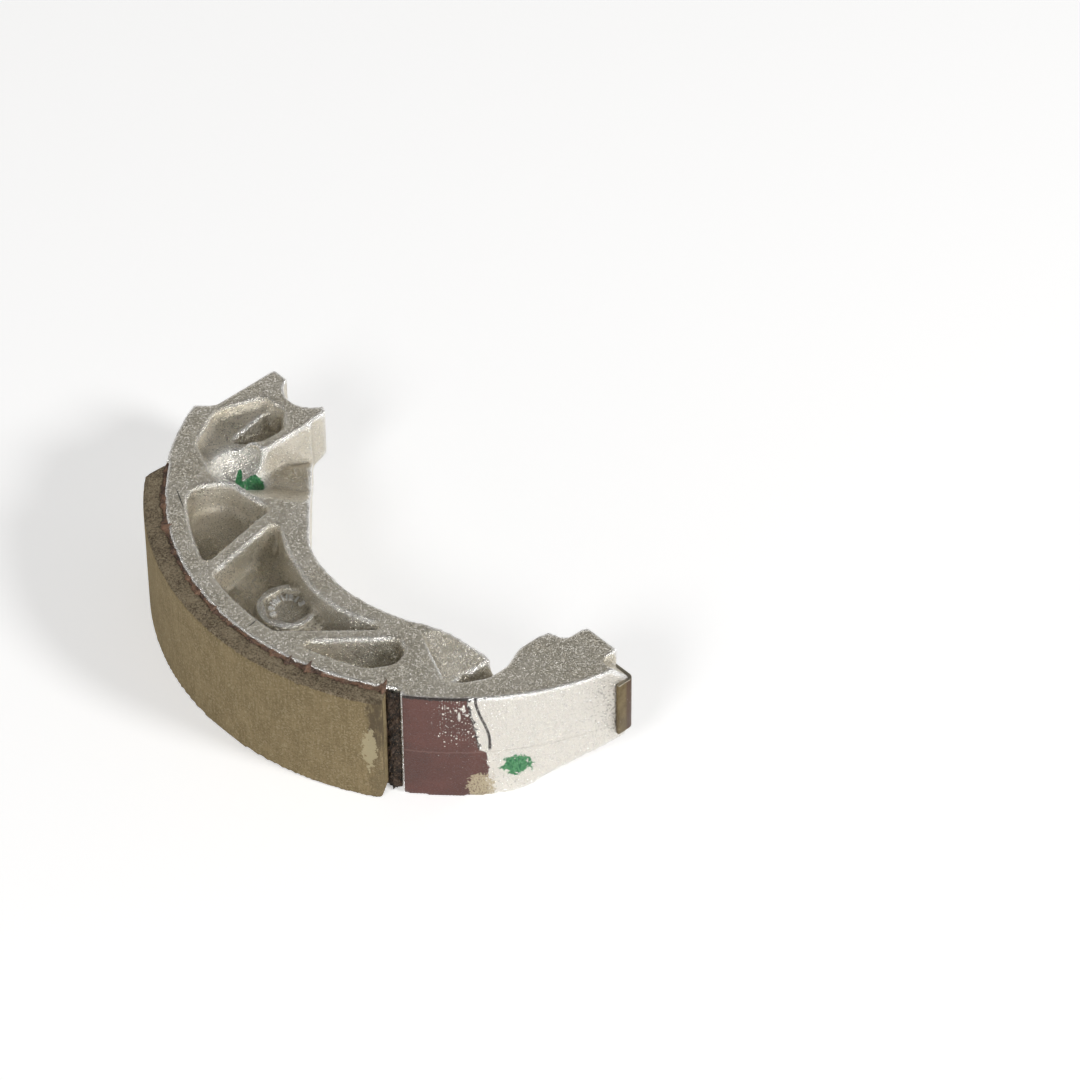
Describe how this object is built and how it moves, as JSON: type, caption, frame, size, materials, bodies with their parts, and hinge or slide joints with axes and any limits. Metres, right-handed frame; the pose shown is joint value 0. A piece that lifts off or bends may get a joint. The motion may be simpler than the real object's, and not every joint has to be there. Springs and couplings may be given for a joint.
{
  "type": "drum brake shoe",
  "caption": "Crescent-shaped cast aluminium drum brake shoe with a bonded lining, a forked anchor end, a capped cam end and spring hook holes.",
  "frame": {"origin": "on the drum axis, level with the shoe's lower side", "axes": "+Z along the drum axis, +Y towards the anchor pin, -X towards the middle of the lining"},
  "size_m": [0.0604, 0.1181, 0.027],
  "materials": {
    "cast_aluminium": "as cast, fine sparkling grain, wiped with traces of paint",
    "friction_material": "ground moulded friction compound, speckled olive brown",
    "adhesive": "cured reddish brown adhesive, charred at the edges",
    "plated_steel": "thin folded steel with a tarnished bronze-coloured plating"
  },
  "bodies": {
    "root": {"shoe_casting": "cast_aluminium", "friction_lining": "friction_material", "bond_adhesive": "adhesive", "cam_wear_clip": "plated_steel"}
  },
  "joints": []
}
